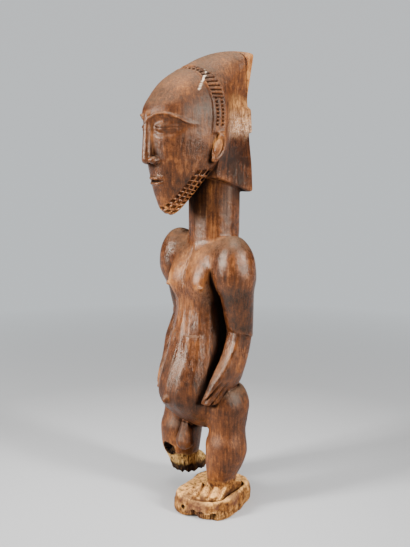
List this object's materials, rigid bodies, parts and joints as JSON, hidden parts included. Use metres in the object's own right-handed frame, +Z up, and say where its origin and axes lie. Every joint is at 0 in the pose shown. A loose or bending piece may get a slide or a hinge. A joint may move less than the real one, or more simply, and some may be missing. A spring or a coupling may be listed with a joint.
{
  "type": "carved ancestor figure",
  "caption": "Standing male ancestor figure carved from one block of dark wood, with a diadem, a latticed beard, a tall squared coiffure and a remnant of its base under the surviving foot.",
  "frame": {"origin": "on the surface it stands on, under the centre of the figure's extent in X and Y", "axes": "+Z up, the figure faces -Y and its own left side is +X"},
  "size_m": [0.1792, 0.1674, 0.6394],
  "materials": {
    "wood": "glossy dark red-brown patina, worn tan at the foot and the broken leg"
  },
  "bodies": {
    "root": {"ancestor_figure": "wood"}
  },
  "joints": []
}
